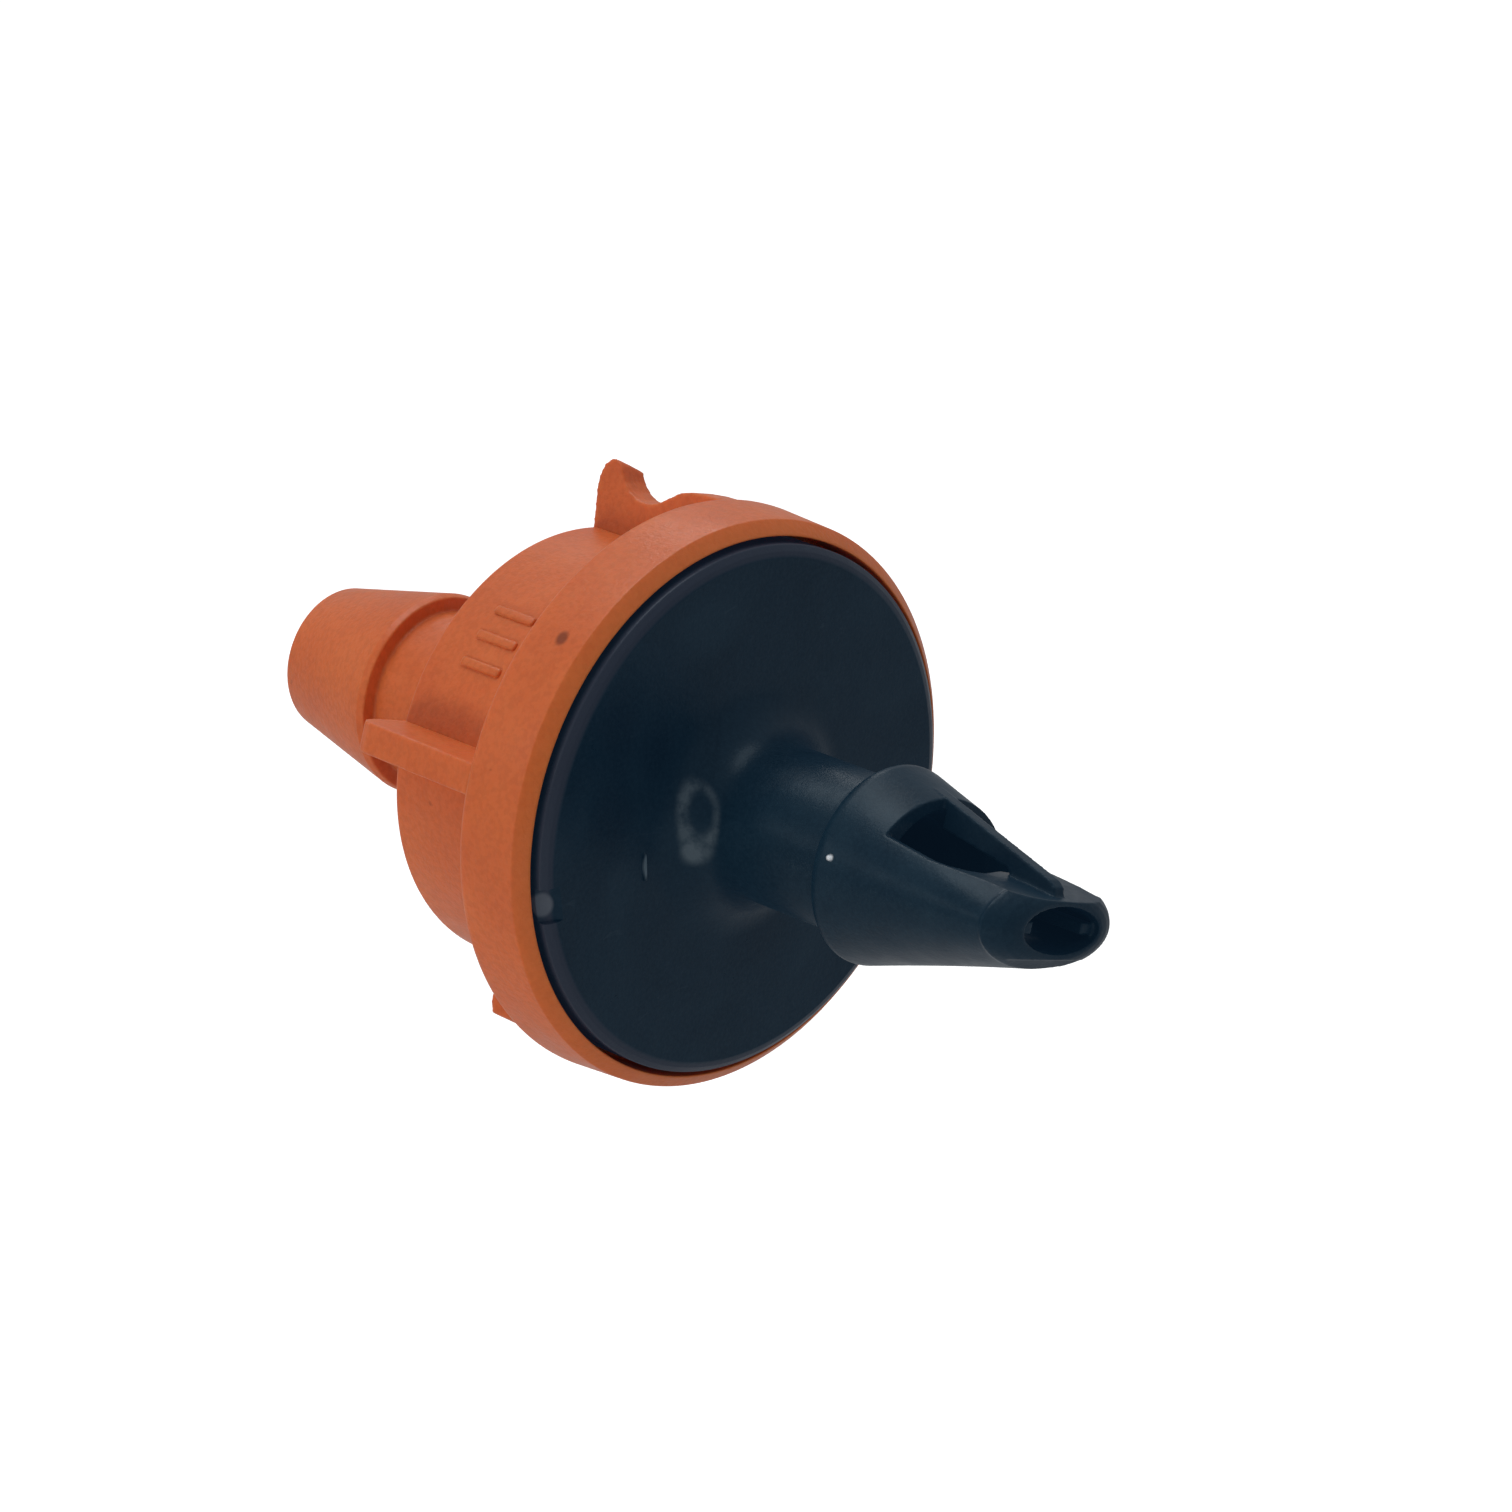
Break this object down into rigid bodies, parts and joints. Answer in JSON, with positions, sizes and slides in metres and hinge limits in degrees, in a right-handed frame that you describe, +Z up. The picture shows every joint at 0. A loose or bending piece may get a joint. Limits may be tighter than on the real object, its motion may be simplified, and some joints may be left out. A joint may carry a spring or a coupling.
{
  "type": "drip emitter",
  "caption": "Take-apart button dripper: barbed inlet base snapped into a ring cover with a tapered outlet nipple, over a silicone diaphragm and a labyrinth insert.",
  "frame": {"origin": "on the emitter's axis, in the plane where the base disc seats against the lateral pipe", "axes": "+X along the axis towards the inlet barb's nose, +Z up, the outlet nipple points along -X"},
  "size_m": [0.0281, 0.016, 0.016],
  "materials": {
    "black_plastic": "moulded polypropylene with a soft sheen",
    "orange_plastic": "moulded polypropylene with a soft sheen",
    "charcoal_plastic": "moulded plastic",
    "silicone": "translucent milky silicone"
  },
  "bodies": {
    "base": {"inlet_base": "black_plastic"},
    "diaphragm": {"silicone_diaphragm": "silicone"},
    "cover": {"outlet_cover": "orange_plastic", "labyrinth_insert": "charcoal_plastic"}
  },
  "joints": [
    {"name": "cover_pull_off", "type": "slide", "parent": "base", "child": "cover", "axis": [-1, 0, 0], "range_m": [0, 0.012]},
    {"name": "diaphragm_stroke", "type": "slide", "parent": "base", "child": "diaphragm", "axis": [-1, 0, 0], "range_m": [0, 0.0003], "stiffness_N_per_m": 200}
  ]
}
